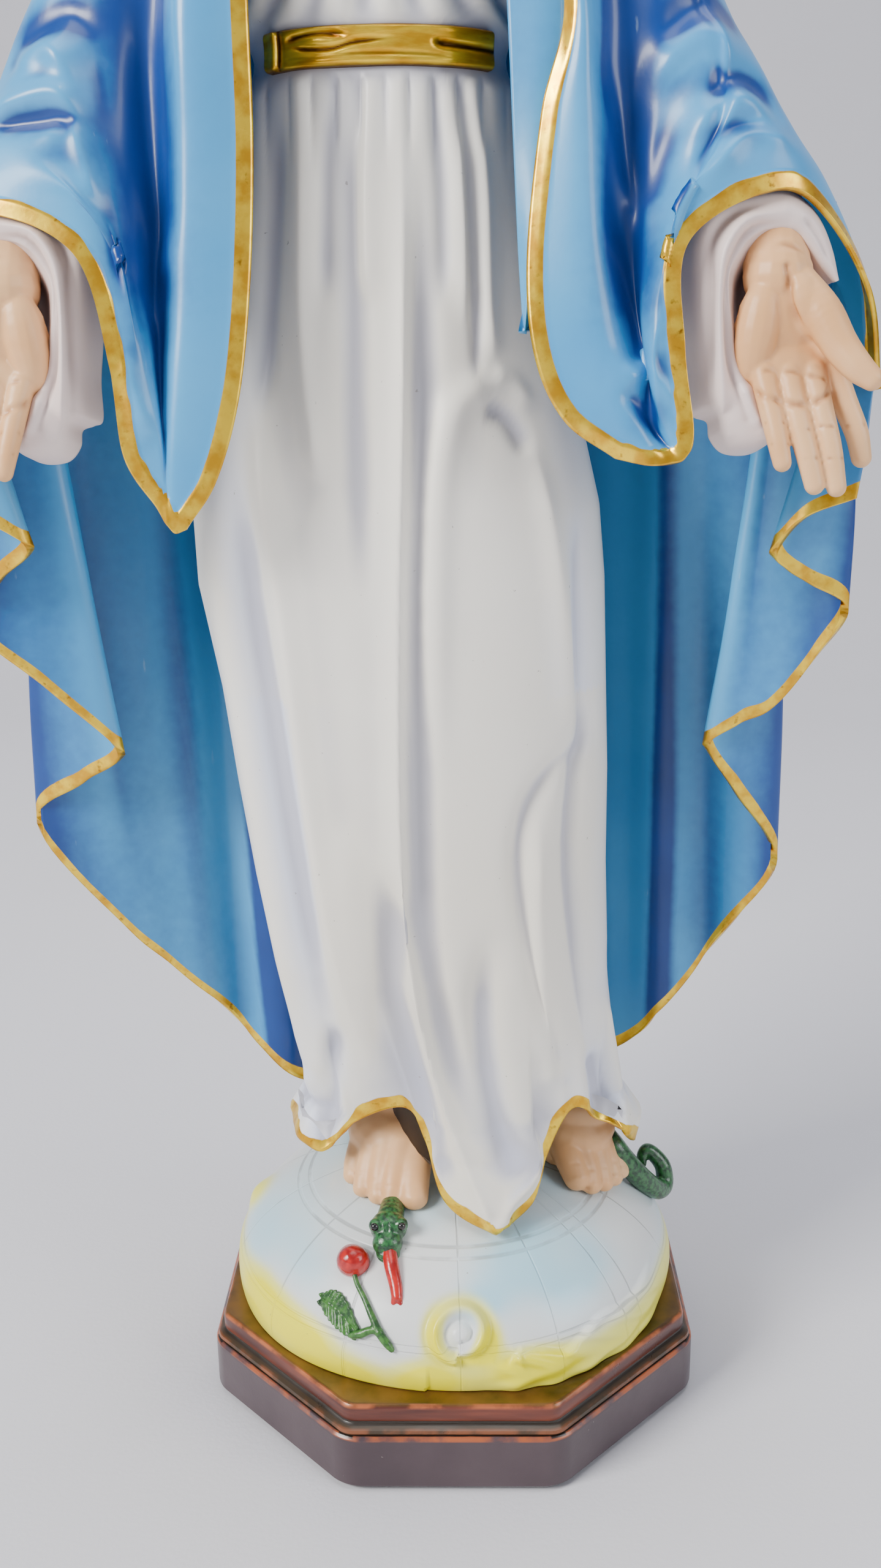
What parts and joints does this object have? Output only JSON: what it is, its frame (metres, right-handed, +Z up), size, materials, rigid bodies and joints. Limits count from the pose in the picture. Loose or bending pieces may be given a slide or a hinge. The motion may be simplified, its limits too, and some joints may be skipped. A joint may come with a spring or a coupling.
{
  "type": "madonna statue",
  "caption": "Painted resin statue of a veiled standing woman with open lowered hands, on a half globe over an octagonal plinth.",
  "frame": {"origin": "centre of the plinth's underside", "axes": "+Z up, the figure faces -Y, her left side is +X"},
  "size_m": [0.2757, 0.168, 0.6068],
  "materials": {
    "felt": "matte felt",
    "block_wood": "dark purple-brown satin lacquer",
    "moulding_wood": "red-brown satin lacquer with rubbed edges",
    "globe_paint": "white resin with pale blue and yellow airbrush, satin",
    "steel": "bright zinc",
    "brass": "plain",
    "serpent_paint": "dark green, gloss",
    "red_paint": "red, gloss",
    "leaf_paint": "green, gloss",
    "gown_paint": "warm white, satin",
    "gold_paint": "gold, metallic paint",
    "mantle_paint": "light blue with deeper blue airbrush, satin",
    "cuff_paint": "pinkish white, satin",
    "skin_paint": "skin colour, satin matt",
    "hair_paint": "brown, satin"
  },
  "bodies": {
    "root": {"felt_pad": "felt", "plinth_block": "block_wood", "plinth_moulding": "moulding_wood", "globe": "globe_paint", "anchor_rod": "steel", "anchor_nut": "steel", "anchor_washer": "steel", "thread_insert": "brass", "serpent_head": "serpent_paint", "serpent_tongue": "red_paint", "serpent_tail": "serpent_paint", "fruit": "red_paint", "fruit_sprig": "leaf_paint", "gown_skirt": "gown_paint", "gown_bodice": "gown_paint", "belt": "gold_paint", "neck_dowel": "steel", "head": "skin_paint", "hair": "hair_paint", "veil": "mantle_paint", "mantle_back": "mantle_paint", "foot_left": "skin_paint", "mantle_front_left": "mantle_paint", "undersleeve_left": "cuff_paint", "wrist_pin_left": "steel", "hand_left": "skin_paint", "foot_right": "skin_paint", "mantle_front_right": "mantle_paint", "undersleeve_right": "cuff_paint", "wrist_pin_right": "steel", "hand_right": "skin_paint"}
  },
  "joints": []
}
